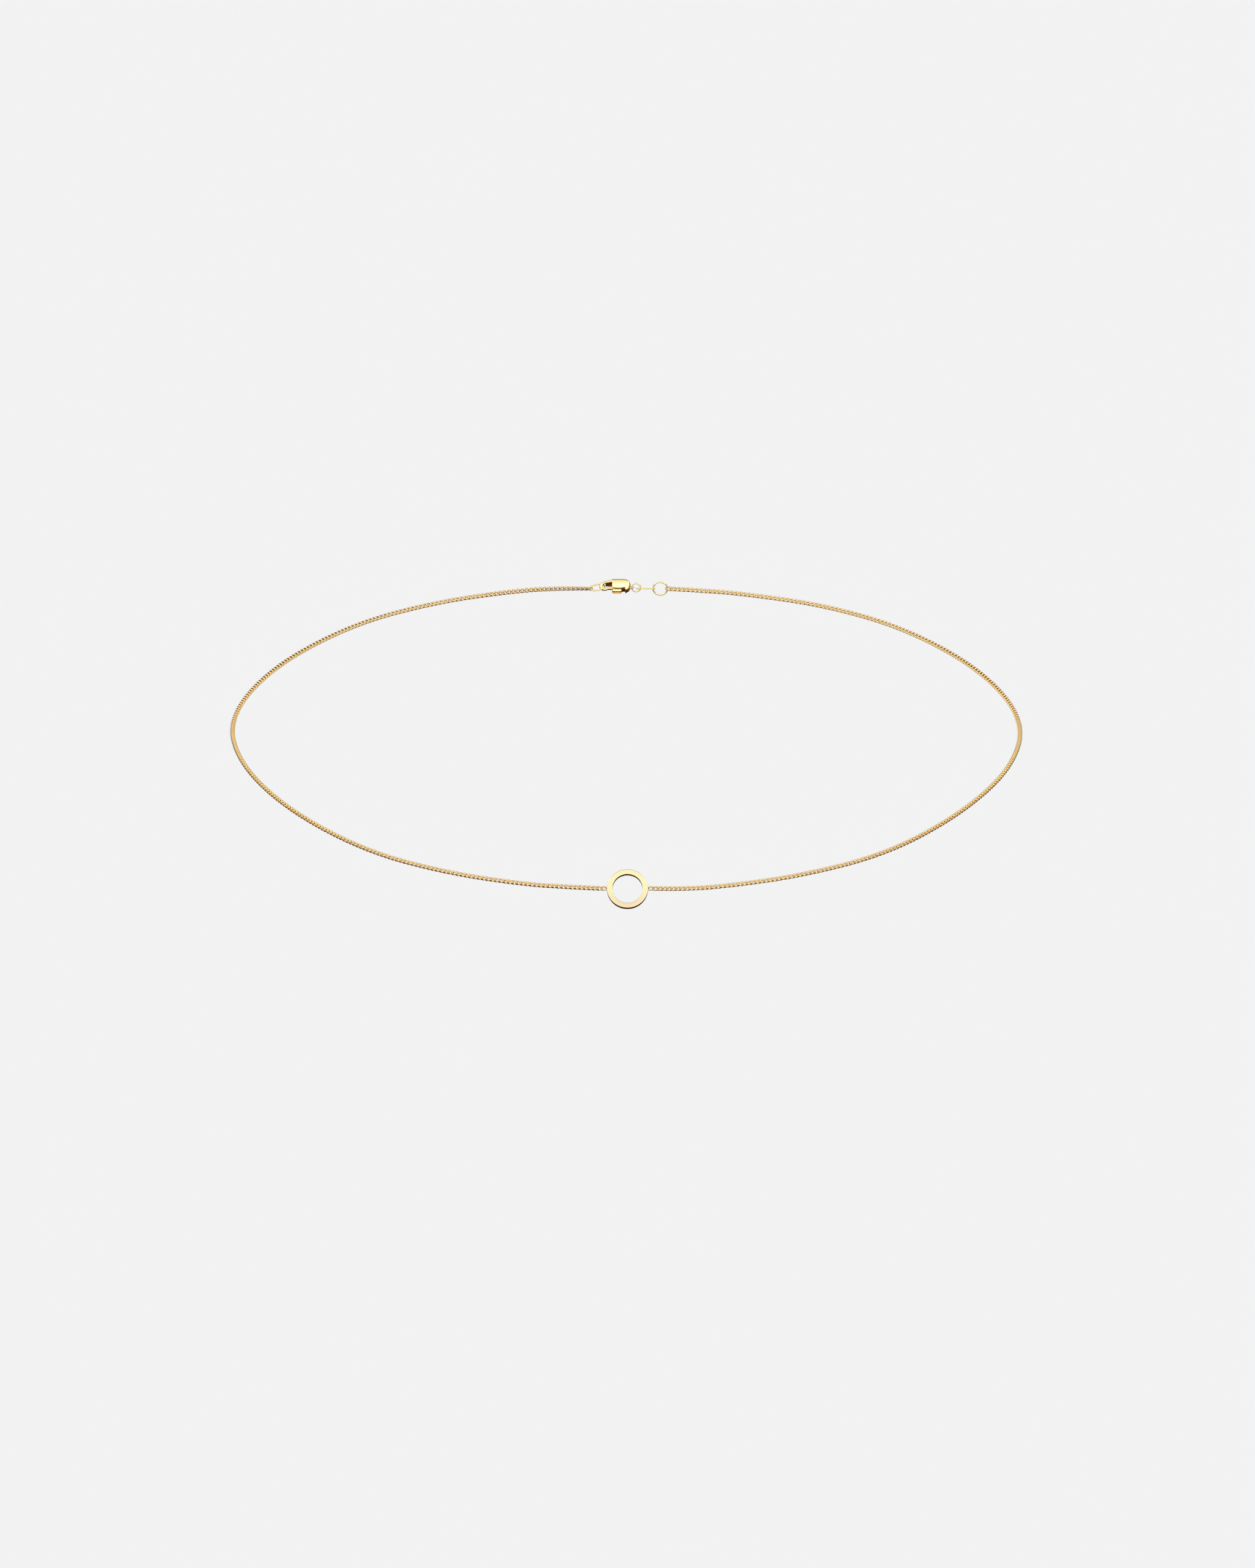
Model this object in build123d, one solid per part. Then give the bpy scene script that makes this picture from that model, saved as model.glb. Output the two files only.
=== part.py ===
from build123d import *
import os
from math import cos, radians, sin, sqrt, tan

# A fine yellow gold choker: two runs of curb chain, an open circle pendant set in line at
# the front, and a lobster clasp with its jump rings at the back.
# Millimetres. The chain lies in the plane Z = 0 as it sits round a neck, +Z is up along the
# neck, the front is at -Y and the origin is the centre of the neck opening.

# Loop that the chain makes, measured on the centre of the chain
LOOP_WIDTH = 148.8
LOOP_DEPTH = 117.8
PENDANT_SHIFT = 0.2            # the pendant sits this far to the right of the middle

# Chain
CHAIN_WIDTH = 0.80             # across the curb links, and the diameter of the plain tube
LINK_WIRE = 0.20               # wire of the pendant links and of the loop at each chain end
END_LOOP_LENGTH = 1.05
END_LOOP_OPENING = 0.40        # clear length of an end loop that its neighbour passes through
END_LOOP_INSET = 0.02          # the loop's sides lie this far inside the tube's surface

# Open circle pendant with its two soldered lugs
PENDANT_DIAMETER = 7.65
PENDANT_WALL = 1.00            # width of the band, measured along the radius
PENDANT_THICKNESS = 0.90
PENDANT_EDGE = 0.14            # rounding of the four polished edges
PENDANT_LEAN = 47.5            # degrees that the face leans back from upright
PENDANT_DROP = 0.15            # its centre hangs this far below the two lugs
LUG_WIRE = 0.16
LUG_SPAN = 0.60                # inner width of a lug
PENDANT_LINK_LENGTH = 1.25
PENDANT_LINK_WIDTH = 0.90
PENDANT_LINK_LEAN = 2.0

# Jump rings and the connector link at the back
RING_WIRE = 0.28
BIG_RING_DIAMETER = 3.00
BIG_RING_LEAN = 2.0
END_RING_DIAMETER = 3.00
END_RING_LEAN = 95.0
CLASP_RING_DIAMETER = 1.90
CLASP_RING_WIRE = 0.25
CLASP_RING_LEAN = 8.0
CONNECTOR_SLACK = 0.38         # the connector link isn't pulled tight in the clasp's ring
CONNECTOR_LENGTH = 3.58
CONNECTOR_WIDTH = 1.30
CONNECTOR_WIRE = 0.23
CONNECTOR_LEAN = -61.0

# Lobster clasp, drawn in its own leaning plane: the body, and the hook in front of it
CLASP_TAIL_X = 0.80            # right end of the clasp's body
CLASP_LEAN = 28.8
CLASP_RISE = 0.45              # middle of the body above the line of the chain
BODY_LENGTH = 3.50
BODY_HEIGHT = 2.70
BODY_THICKNESS = 1.60
BODY_TAIL_ROUND = 1.25
BODY_EDGE = 0.60               # rounding of the body's long edges
BODY_HEEL = 0.12               # rounding of the corners behind the trigger
HOOK_LENGTH = 2.40
HOOK_THICKNESS = 0.90
HOOK_BAR = 0.38                # height of the hook's upper arm
HOOK_STEP = 0.08               # upper arm below the top of the body
HOOK_DROP = 0.42               # fall of the upper arm towards the nose
HOOK_NOSE = 0.62               # length of the nose at the end of the hook
HOOK_FOOT = 0.78               # reach of the nose's foot back towards the trigger
HOOK_SHOULDER = 0.50           # the nose's front corners are this far behind its tip
HOOK_BROW = 0.49               # height of the slope above the tip
HOOK_CHIN = 0.43               # height of the slope below the tip
BROW_ROUND = 0.45              # rounding of the two corners of each slope
CHIN_ROUND = 0.30
MOUTH_ROUND = 0.24             # rounding inside the mouth and over the foot
HOOK_EDGE = 0.14
MOUTH_HEIGHT = 0.82            # gap between the upper arm and the trigger
EAR_RADIUS = 0.42
EAR_HOLE = 0.25
EAR_THICKNESS = 0.30
EAR_REACH = 0.22               # centre of the ear's hole beyond the body's tail
EAR_RISE = 0.20                # and above the line of the chain

# Trigger, pin and the room that they run in
WEB_THICKNESS = 0.70
ARM_HEIGHT = 0.72
PAD_LENGTH = 1.85
PAD_HEIGHT = 0.80
PAD_EDGE = 0.20
PAD_TRAVEL = 0.60              # free length behind the pad
WEB_TAIL = 0.55                # reach of the web behind the pad, seen inside that room
WEB_TAIL_RISE = 0.12           # top of this tail above that room
WEB_TAIL_ROUND = 0.15
WEB_SWING = 0.35               # reach of the slot behind that room
PIVOT_SETBACK = 1.70           # pivot behind the body's front face
PIVOT_HUB = 0.52
PIN_DIAMETER = 0.45
PIN_PROUD = 0.02               # height of each rivet head above the body

# Clearances
LINK_GAP = 0.03                # between two links that hang in each other
LUG_SLACK = 0.07               # pendant link in its lug, which it crosses at a slant
MOUTH_SLACK = 0.15             # end ring in the clasp's mouth, which it crosses at a slant
PIN_GAP = 0.03                 # pin in the trigger
PIN_SEAT = 0.01                # pin in the body's two walls
WEB_GAP = 0.08                 # trigger's web to each wall of the slot
TRIGGER_GAP = 0.06             # trigger to the hook's foot and to the end of the slot
PAD_GAP = 0.12                 # pad to the body above it
SAME_PLACE = 0.001             # edges and faces nearer than this are in the same place

# Route of the chain, from the pendant to the clasp, as shares of half the loop's width and
# half its depth. The two ends come from the pendant and the rings.
ROUTE_RIGHT = [
    (0.140, -1.005), (0.252, -0.985), (0.446, -0.914), (0.662, -0.768),
    (0.849, -0.503), (0.978, -0.202), (1.012, 0.106), (0.912, 0.436),
    (0.720, 0.723), (0.510, 0.886), (0.296, 0.966), (0.185, 0.988),
]
ROUTE_LEFT = [
    (-0.134, -0.992), (-0.253, -0.974), (-0.450, -0.899), (-0.655, -0.758),
    (-0.853, -0.488), (-0.981, -0.178), (-1.012, 0.128), (-0.905, 0.467),
    (-0.702, 0.755), (-0.496, 0.903), (-0.296, 0.982), (-0.172, 1.004),
]

# Worked out from the sizes above
half_width = LOOP_WIDTH / 2
half_depth = LOOP_DEPTH / 2
pendant_radius = PENDANT_DIAMETER / 2
lug_bend = (LUG_SPAN + LUG_WIRE) / 2
link_near = pendant_radius + LUG_SPAN / 2 - LINK_WIRE - LUG_SLACK
body_half = BODY_THICKNESS / 2


def leaning_plane(origin, lean, along=Vector(1, 0, 0)):
    """Plane whose first axis is along, and whose second leans back from upright by lean."""
    along = along.normalized()
    back = Vector(0, 0, 1).cross(along).normalized()
    upright = along.cross(back)
    second = upright * cos(radians(lean)) + back * sin(radians(lean))
    return Plane(origin=origin, x_dir=along, z_dir=along.cross(second))


def jump_ring(diameter, wire, plane):
    """Closed round ring of a given outer diameter."""
    return plane * Torus((diameter - wire) / 2, wire / 2)


def oval_link(length, width, wire, plane):
    """Closed oval link of given outer sizes, long along the plane's first axis."""
    bend = (width - wire) / 2
    straight = length - width
    link = Part()
    for side in (-1, 1):
        end = Rot(0, 0, -90 * side) * Torus(bend, wire / 2, major_angle=180, align=None)
        link += Pos(side * straight / 2, 0, 0) * end
        link += Pos(0, side * bend, 0) * Rot(0, 90, 0) * Cylinder(wire / 2, straight)
    return plane * link


# Pendant

def pendant_ring():
    """Flat open circle with rounded edges and a soldered half-round lug on each side."""
    band = Circle(pendant_radius) - Circle(pendant_radius - PENDANT_WALL)
    ring = extrude(band, PENDANT_THICKNESS / 2, both=True)
    ring = fillet(ring.edges().filter_by(GeomType.CIRCLE), PENDANT_EDGE)
    ring = Pos(0, -PENDANT_DROP, 0) * ring
    for side in (-1, 1):
        ring += Pos(side * pendant_radius, 0, 0) * Torus(lug_bend, LUG_WIRE / 2)
    return leaning_plane((PENDANT_SHIFT, -half_depth, 0), PENDANT_LEAN) * ring


def pendant_link(side):
    """Link between a lug and the chain, on the left (-1) or the right (1)."""
    middle = PENDANT_SHIFT + side * (link_near + PENDANT_LINK_LENGTH / 2)
    plane = leaning_plane((middle, -half_depth, 0), PENDANT_LINK_LEAN)
    return oval_link(PENDANT_LINK_LENGTH, PENDANT_LINK_WIDTH, LINK_WIRE, plane)


def pendant_link_end(side):
    """Centre of the wire at the far end of a pendant link."""
    reach = link_near + PENDANT_LINK_LENGTH - LINK_WIRE / 2
    return Vector(PENDANT_SHIFT + side * reach, -half_depth, 0)


# Chain

def corner_radii(points):
    """Largest arcs that the runs allow, one for each corner of the route."""
    radii = []
    for before, corner, after in zip(points, points[1:], points[2:]):
        run_in = corner - before
        run_out = after - corner
        turn = radians(run_in.get_angle(run_out))
        radii.append(0.45 * min(run_in.length, run_out.length) / tan(turn / 2))
    return radii


def chain_end(hang, wire, corner, lean):
    """Start of the tube and the loop that hangs on a neighbour's wire at the point hang."""
    way = (corner - hang).normalized()
    tip = hang - way * (wire / 2 + LINK_GAP + LINK_WIRE)
    plane = leaning_plane(tip + way * (END_LOOP_LENGTH / 2), lean, way)
    loop = oval_link(END_LOOP_LENGTH, CHAIN_WIDTH - 2 * END_LOOP_INSET, LINK_WIRE, plane)
    return tip + way * (LINK_WIRE + END_LOOP_OPENING), loop


def chain_run(name, shares, front, back):
    """One run of chain: a plain tube, with a loop at each end. Ends are (hang, wire, lean)."""
    corners = [Vector(x * half_width, y * half_depth, 0) for x, y in shares]
    start, start_loop = chain_end(front[0], front[1], corners[0], front[2])
    end, end_loop = chain_end(back[0], back[1], corners[-1], back[2])
    points = [start] + corners + [end]
    radii = corner_radii(points)
    path = FilletPolyline(*points, radius=radii)
    section = Plane(origin=path @ 0, z_dir=path % 0) * Circle(CHAIN_WIDTH / 2)
    tube = sweep(section, path=path)
    print(name, "radii", [round(radius, 1) for radius in radii])
    print(name, "length", round(path.length, 2), "mm")
    print(name, "volume over section times length", round(tube.volume / (section.area * path.length), 5))
    return tube + start_loop + end_loop


# Lobster clasp. In its plane x runs to the tail, y runs up, and z comes towards the front.

clasp_plane = leaning_plane((CLASP_TAIL_X, half_depth, 0), CLASP_LEAN)
body_front = -BODY_LENGTH
body_top = CLASP_RISE + BODY_HEIGHT / 2
body_bottom = CLASP_RISE - BODY_HEIGHT / 2
hook_tip = body_front - HOOK_LENGTH
nose_back = hook_tip + HOOK_NOSE
seam = nose_back + HOOK_FOOT
hook_root = body_front + BODY_EDGE
hook_top = body_top - HOOK_STEP
nose_top = hook_top - HOOK_DROP
mouth_top = nose_top - HOOK_BAR
arm_top = mouth_top - MOUTH_HEIGHT
arm_bottom = arm_top - ARM_HEIGHT
pad_back = body_front + PAD_LENGTH
pad_top = body_bottom + PAD_HEIGHT
room_back = pad_back + PAD_TRAVEL
room_top = pad_top + PAD_GAP
tail_inset = max(0, BODY_TAIL_ROUND + room_back)
heel_bottom = body_bottom + BODY_TAIL_ROUND - sqrt(BODY_TAIL_ROUND**2 - tail_inset**2)
pivot_x = body_front + PIVOT_SETBACK
pivot_y = CLASP_RISE


def block(left, right, bottom, top, half):
    """Box in the clasp's plane, reaching half to the front and half to the back."""
    size = Box(right - left, top - bottom, 2 * half)
    return Pos((left + right) / 2, (bottom + top) / 2, 0) * size


def round_edges(plate, half, radius, left):
    """Round the long edges of a plate, apart from those at its left end."""
    edges = plate.edges().filter_by(lambda e: abs(abs(e.center().Z) - half) < SAME_PLACE)
    edges = edges.filter_by(lambda e: e.center().X > left + SAME_PLACE)
    return fillet(edges, radius)


def plate_from(corners, half):
    """Plate of an outline whose corners are (x, y, radius)."""
    outline = make_face(Polyline(*[(x, y) for x, y, radius in corners], close=True))
    for x, y, radius in corners:
        if radius > 0:
            outline = fillet(outline.vertices().sort_by_distance((x, y, 0))[0], radius)
    return extrude(outline, half, both=True)


def hook():
    """Upper arm, nose and foot of the claw."""
    shoulder = hook_tip + HOOK_SHOULDER
    corners = [
        (hook_root, hook_top, 0),
        (shoulder, nose_top, BROW_ROUND),
        (hook_tip, nose_top - HOOK_BROW, BROW_ROUND),
        (hook_tip, arm_bottom + HOOK_CHIN, CHIN_ROUND),
        (shoulder, arm_bottom, CHIN_ROUND),
        (seam, arm_bottom, 0),
        (seam, arm_top, 0),
        (nose_back, arm_top, MOUTH_ROUND),
        (nose_back, mouth_top, MOUTH_ROUND),
        (hook_root, hook_top - HOOK_BAR, 0),
    ]
    half = HOOK_THICKNESS / 2
    plate = plate_from(corners, half)
    edges = plate.edges().filter_by(lambda e: abs(abs(e.center().Z) - half) < SAME_PLACE)
    inside = edges.filter_by(lambda e: e.center().X < hook_root - SAME_PLACE)
    free = inside.filter_by(lambda e: abs(e.center().X - seam) > SAME_PLACE)
    return fillet(free, HOOK_EDGE)


def trigger_room():
    """Space under the body that the thumb pad slides in, with its back corners rounded."""
    below = body_bottom - BODY_EDGE
    front = body_front - HOOK_FOOT
    behind = room_back + BODY_HEEL * 2
    corners = [
        (front, below, 0),
        (behind, below, 0),
        (behind, heel_bottom, 0),
        (room_back, heel_bottom, BODY_HEEL),
        (room_back, room_top, BODY_HEEL),
        (front, room_top, 0),
    ]
    return plate_from(corners, body_half + PAD_GAP)


def clasp_body():
    """Capsule body with the hook, the room for the trigger, and the ear for its jump ring."""
    outline = Pos(-BODY_LENGTH / 2, CLASP_RISE) * Rectangle(BODY_LENGTH, BODY_HEIGHT)
    outline = fillet(outline.vertices().sort_by(Axis.X)[-2:], BODY_TAIL_ROUND)
    body = round_edges(extrude(outline, body_half, both=True), body_half, BODY_EDGE, body_front)
    body = body + hook() - trigger_room()
    slot_back = pivot_x + PIVOT_HUB + TRIGGER_GAP
    slot_top = pivot_y + PIVOT_HUB + TRIGGER_GAP
    slot_half = WEB_THICKNESS / 2 + WEB_GAP
    below = body_bottom - BODY_EDGE
    body -= block(body_front - TRIGGER_GAP, slot_back, below, slot_top, slot_half)
    tail_slot_back = room_back + WEB_SWING
    body -= block(pivot_x, tail_slot_back, below, pivot_y, slot_half)
    body -= Pos(pivot_x, pivot_y, 0) * Cylinder(PIN_DIAMETER / 2 + PIN_SEAT, BODY_THICKNESS * 2)
    tongue_root = max(-BODY_EDGE, tail_slot_back)
    tongue = block(tongue_root, EAR_REACH, -EAR_THICKNESS / 2, EAR_THICKNESS / 2, EAR_RADIUS)
    ear = Pos(EAR_REACH, 0, 0) * Rot(90, 0, 0) * Cylinder(EAR_RADIUS, EAR_THICKNESS)
    hole = Pos(EAR_REACH, 0, 0) * Rot(90, 0, 0) * Cylinder(EAR_HOLE, EAR_THICKNESS * 2)
    return clasp_plane * (body + Pos(0, EAR_RISE, 0) * (tongue + ear - hole))


def clasp_trigger():
    """Arm that closes the mouth, hub on the pin, and thumb pad under the body."""
    half = WEB_THICKNESS / 2
    tip = seam + TRIGGER_GAP
    arm = block(tip, pivot_x, arm_bottom, arm_top, half)
    arm = fillet(arm.edges().filter_by(Axis.X), HOOK_EDGE)
    hub = Pos(pivot_x, pivot_y, 0) * Cylinder(PIVOT_HUB, WEB_THICKNESS)
    web_bottom = body_bottom + PAD_EDGE
    web = block(pivot_x - PIVOT_HUB, pad_back - PAD_EDGE, web_bottom, pivot_y, half)
    tail = plate_from([
        (pivot_x, web_bottom, 0),
        (pad_back + WEB_TAIL, web_bottom, WEB_TAIL_ROUND),
        (pad_back + WEB_TAIL, room_top + WEB_TAIL_RISE, WEB_TAIL_ROUND),
        (pivot_x, room_top + WEB_TAIL_RISE, 0),
    ], half)
    pad = block(body_front, pad_back, body_bottom, pad_top, body_half)
    pad = fillet(pad.edges(), PAD_EDGE)
    bore = Pos(pivot_x, pivot_y, 0) * Cylinder(PIN_DIAMETER / 2 + PIN_GAP, BODY_THICKNESS)
    return clasp_plane * (arm + hub + web + tail + pad - bore)


def clasp_pin():
    """Rivet that the trigger turns on."""
    pin = Cylinder(PIN_DIAMETER / 2, BODY_THICKNESS + 2 * PIN_PROUD)
    pin = fillet(pin.edges().filter_by(GeomType.CIRCLE), PIN_PROUD)
    return clasp_plane * Pos(pivot_x, pivot_y, 0) * pin


# Rings at the back, each hung on the one before it

def ring_across(left_wire, diameter, wire, lean):
    """Jump ring whose left wire is centred at left_wire, and the centre of its right wire."""
    across = Vector(diameter - wire, 0, 0)
    plane = leaning_plane(left_wire + across / 2, lean)
    return jump_ring(diameter, wire, plane), left_wire + across


ear_centre = clasp_plane.from_local_coords(Vector(EAR_REACH, EAR_RISE, 0))
clasp_ring, clasp_ring_right = ring_across(
    ear_centre, CLASP_RING_DIAMETER, CLASP_RING_WIRE, CLASP_RING_LEAN)

connector_tight = clasp_ring_right.X - (CLASP_RING_WIRE + CONNECTOR_WIRE) / 2 - LINK_GAP
connector_left = connector_tight - CONNECTOR_SLACK
connector_middle = connector_left + (CONNECTOR_LENGTH - CONNECTOR_WIRE) / 2
connector_right = connector_left + CONNECTOR_LENGTH - CONNECTOR_WIRE
connector_link = oval_link(
    CONNECTOR_LENGTH, CONNECTOR_WIDTH, CONNECTOR_WIRE,
    leaning_plane((connector_middle, half_depth, 0), CONNECTOR_LEAN))

big_ring_left = connector_right - (CONNECTOR_WIRE + RING_WIRE) / 2 - LINK_GAP
big_ring, big_ring_right = ring_across(
    Vector(big_ring_left, half_depth, 0), BIG_RING_DIAMETER, RING_WIRE, BIG_RING_LEAN)

# The end ring hangs in the clasp's mouth and slopes down to the line of the chain
mouth_seat = clasp_plane.from_local_coords(
    Vector(nose_back + RING_WIRE / 2 + MOUTH_SLACK, (mouth_top + arm_top) / 2, 0))
end_ring_bend = END_RING_DIAMETER - RING_WIRE
end_ring_run = sqrt(end_ring_bend**2 - (mouth_seat.Y - half_depth)**2 - mouth_seat.Z**2)
end_ring_left = Vector(mouth_seat.X - end_ring_run, half_depth, 0)
end_ring = jump_ring(END_RING_DIAMETER, RING_WIRE, leaning_plane(
    (mouth_seat + end_ring_left) / 2, END_RING_LEAN, mouth_seat - end_ring_left))

# A loop at a chain's end stands across the link or ring that it hangs in
level = 90
upright = 0

parts = {
    "pendant_ring": pendant_ring(),
    "pendant_link_left": pendant_link(-1),
    "pendant_link_right": pendant_link(1),
    "chain_left": chain_run(
        "left", ROUTE_LEFT,
        (pendant_link_end(-1), LINK_WIRE, level), (end_ring_left, RING_WIRE, upright)),
    "chain_right": chain_run(
        "right", ROUTE_RIGHT,
        (pendant_link_end(1), LINK_WIRE, level), (big_ring_right, RING_WIRE, level)),
    "end_ring": end_ring,
    "clasp_body": clasp_body(),
    "clasp_trigger": clasp_trigger(),
    "clasp_pin": clasp_pin(),
    "clasp_ring": clasp_ring,
    "connector_link": connector_link,
    "big_ring": big_ring,
}

os.makedirs("parts", exist_ok=True)
for node, shape in parts.items():
    export_step(shape, f"parts/{node}.step")
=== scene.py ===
# %% [markdown]
# # A fine gold choker, one cell at a time
# This lesson dresses a small piece of jewellery: two runs of fine curb chain, an open circle
# pendant at the front and a lobster clasp at the back. The solid parts arrive as a fixed frame,
# at their real size in metres. Everything that is added here is placed from that frame, so no
# piece has to be fitted by eye.

# %% Load the frame
import bpy
import numpy as np
from math import cos, pi, radians, sin
from mathutils import Matrix, Vector


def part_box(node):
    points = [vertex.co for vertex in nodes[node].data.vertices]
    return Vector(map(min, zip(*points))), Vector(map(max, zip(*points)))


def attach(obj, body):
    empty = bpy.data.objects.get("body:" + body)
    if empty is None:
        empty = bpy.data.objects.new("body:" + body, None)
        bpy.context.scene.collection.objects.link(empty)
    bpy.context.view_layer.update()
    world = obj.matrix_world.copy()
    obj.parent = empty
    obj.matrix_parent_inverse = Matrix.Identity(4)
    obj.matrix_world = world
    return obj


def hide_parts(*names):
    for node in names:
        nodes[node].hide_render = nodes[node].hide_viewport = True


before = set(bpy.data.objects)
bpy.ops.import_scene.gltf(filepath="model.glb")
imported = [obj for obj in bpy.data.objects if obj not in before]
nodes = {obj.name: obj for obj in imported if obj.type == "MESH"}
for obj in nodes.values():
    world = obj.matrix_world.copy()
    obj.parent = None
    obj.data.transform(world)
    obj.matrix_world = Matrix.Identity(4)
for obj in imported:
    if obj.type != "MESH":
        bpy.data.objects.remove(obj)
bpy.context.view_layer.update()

MM = 0.001

def in_mm(lengths):
    """Lengths in millimetres, rounded for printing."""
    return [round(length / MM, 2) for length in lengths]

# %% [markdown]
# ## Camera
# The photograph is almost free of perspective: the links at the front and at the back of the
# loop look equally large. A long lens from far away gives that look. The camera's place follows
# from three measures of the picture: how many pixels a millimetre takes, how high the camera
# stands above the plane of the loop, and which pixel the centre of the loop falls on.

# %% Put the camera where the photograph was taken from
PICTURE_WIDTH = 1725
PICTURE_HEIGHT = 2156
PIXELS_PER_MM = 7.28
LOOP_CENTRE_PIXEL = (861.0, 1014.05)
CAMERA_ELEVATION = radians(28.8)
LENS = 900.0
SENSOR = 36.0

picture_height = PICTURE_HEIGHT / PIXELS_PER_MM * MM
distance = LENS / SENSOR * picture_height
to_camera = Vector((0, -cos(CAMERA_ELEVATION), sin(CAMERA_ELEVATION)))
picture_up = Vector((0, sin(CAMERA_ELEVATION), cos(CAMERA_ELEVATION)))
aim_right = (PICTURE_WIDTH / 2 - LOOP_CENTRE_PIXEL[0]) / PIXELS_PER_MM * MM
aim_up = (LOOP_CENTRE_PIXEL[1] - PICTURE_HEIGHT / 2) / PIXELS_PER_MM * MM
aim = Vector((aim_right, 0, 0)) + picture_up * aim_up

lens = bpy.data.cameras.new("camera")
lens.lens = LENS
lens.sensor_width = SENSOR
lens.clip_end = distance * 4
camera = bpy.data.objects.new("camera", lens)
camera.location = aim + to_camera * distance
camera.rotation_euler = to_camera.to_track_quat("Z", "Y").to_euler()
bpy.context.scene.collection.objects.link(camera)
bpy.context.scene.camera = camera
print("camera", round(distance, 2), "m away")

# %% [markdown]
# ## Floor, surroundings and light
# Polished gold has almost no colour of its own: it shows a tinted picture of what stands round
# it. A jeweller's picture is made in a white tent, open and dark below, so that upper faces turn
# pale and lower faces turn deep brown. The surroundings here are such a tent, painted as a ramp
# over height. The floor lies well below the choker, is plain and pale, and isn't seen in the
# gold, just as in a picture taken over a dark table edge.

# %% A pale floor, well below the loop
FLOOR_DROP = 0.35
FLOOR_SIZE = 30.0
FLOOR_PAPER = (0.766, 0.776, 0.788)
BACKDROP = 0.887

def new_material(name):
    """Node material with its shader, nodes and links."""
    material = bpy.data.materials.new(name)
    material.use_nodes = True
    tree = material.node_tree
    return material, tree.nodes["Principled BSDF"], tree.nodes, tree.links

floor_finish, shader, _, _ = new_material("floor_paper")
shader.inputs["Base Color"].default_value = (*FLOOR_PAPER, 1)
shader.inputs["Roughness"].default_value = 1.0
shader.inputs["Specular IOR Level"].default_value = 0.0
bpy.ops.object.select_all(action="DESELECT")
bpy.ops.mesh.primitive_plane_add(size=FLOOR_SIZE, location=(0, 0, -FLOOR_DROP))
floor = bpy.context.object
floor.name = "floor"
floor.data.materials.append(floor_finish)
floor.visible_glossy = False
print("floor", round(FLOOR_DROP, 2), "m below the loop")

# %% The tent: a ramp from dark below to white above
# height on a sphere round the choker, from -1 below to 1 above, and the light from there
TENT = [
    (-1.00, (0.050, 0.016, 0.004)),
    (-0.10, (0.090, 0.034, 0.007)),
    (0.25, (0.40, 0.27, 0.14)),
    (0.40, (1.80, 1.80, 1.80)),
    (0.55, (2.60, 2.60, 2.60)),
    (0.65, (1.60, 1.60, 1.60)),
    (0.76, (1.10, 1.10, 1.10)),
    (1.00, (1.05, 1.05, 1.05)),
]

world = bpy.data.worlds.new("tent")
world.use_nodes = True
bpy.context.scene.world = world
tree = world.node_tree
direction = tree.nodes.new("ShaderNodeTexCoord")
height = tree.nodes.new("ShaderNodeSeparateXYZ")
span = tree.nodes.new("ShaderNodeMapRange")
span.inputs["From Min"].default_value = -1.0
ramp = tree.nodes.new("ShaderNodeValToRGB")
stops = ramp.color_ramp.elements
for number, (level, colour) in enumerate(TENT):
    position = (level + 1) / 2
    stop = stops[number] if number < 2 else stops.new(position)
    stop.position = position
    stop.color = (*colour, 1)
tree.links.new(direction.outputs["Generated"], height.inputs[0])
tree.links.new(height.outputs["Z"], span.inputs["Value"])
tree.links.new(span.outputs["Result"], ramp.inputs["Fac"])
print("tent of", len(stops), "tones")

# %% [markdown]
# One part of the tent stays dark: the side behind the clasp. Links that lean towards it get the
# brown flank that a photograph of a fine chain shows. The eye itself sees neither ramp nor dark
# side, but an even, pale backdrop.

# %% The dark side, and the backdrop that the eye sees
DARK_SIDE_HEIGHT = radians(15)
DARK_SIDE = (0, cos(DARK_SIDE_HEIGHT), sin(DARK_SIDE_HEIGHT))
DARK_SIDE_COLOUR = (0.10, 0.06, 0.03)
DARK_SIDE_EDGE = (0.60, 0.90)

sight = tree.nodes.new("ShaderNodeLightPath")
choice = tree.nodes.new("ShaderNodeMix")
choice.data_type = "RGBA"
choice.inputs["B"].default_value = (BACKDROP, BACKDROP, BACKDROP, 1)
side = tree.nodes.new("ShaderNodeVectorMath")
side.operation = "DOT_PRODUCT"
side.inputs[1].default_value = DARK_SIDE
edge = tree.nodes.new("ShaderNodeMapRange")
edge.interpolation_type = "SMOOTHSTEP"
edge.inputs["From Min"].default_value, edge.inputs["From Max"].default_value = DARK_SIDE_EDGE
shade = tree.nodes.new("ShaderNodeMix")
shade.data_type = "RGBA"
shade.inputs["B"].default_value = (*DARK_SIDE_COLOUR, 1)
tree.links.new(direction.outputs["Generated"], side.inputs[0])
tree.links.new(side.outputs["Value"], edge.inputs["Value"])
tree.links.new(edge.outputs["Result"], shade.inputs["Factor"])
tree.links.new(ramp.outputs["Color"], shade.inputs["A"])
tree.links.new(shade.outputs["Result"], choice.inputs["A"])
tree.links.new(sight.outputs["Is Camera Ray"], choice.inputs["Factor"])
tree.links.new(choice.outputs["Result"], tree.nodes["Background"].inputs["Color"])
bpy.context.scene.view_settings.view_transform = "Standard"
print("backdrop", BACKDROP, "and a dark side", round(DARK_SIDE_COLOUR[0], 2), "bright")

# %% [markdown]
# ## Gold
# All of the metal is yellow gold, but each piece is finished in its own way. The pendant is
# polished to a mirror, the chain's links keep faint marks of drawing, the jump rings come pale
# and satin from the tumbler, and the cast clasp is a little softer than the pendant. Two effects
# are shared, so each is a node group that is built once: one lets the colour drift slightly over
# the metal, the other adds polishing marks to its roughness and surface.

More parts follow.
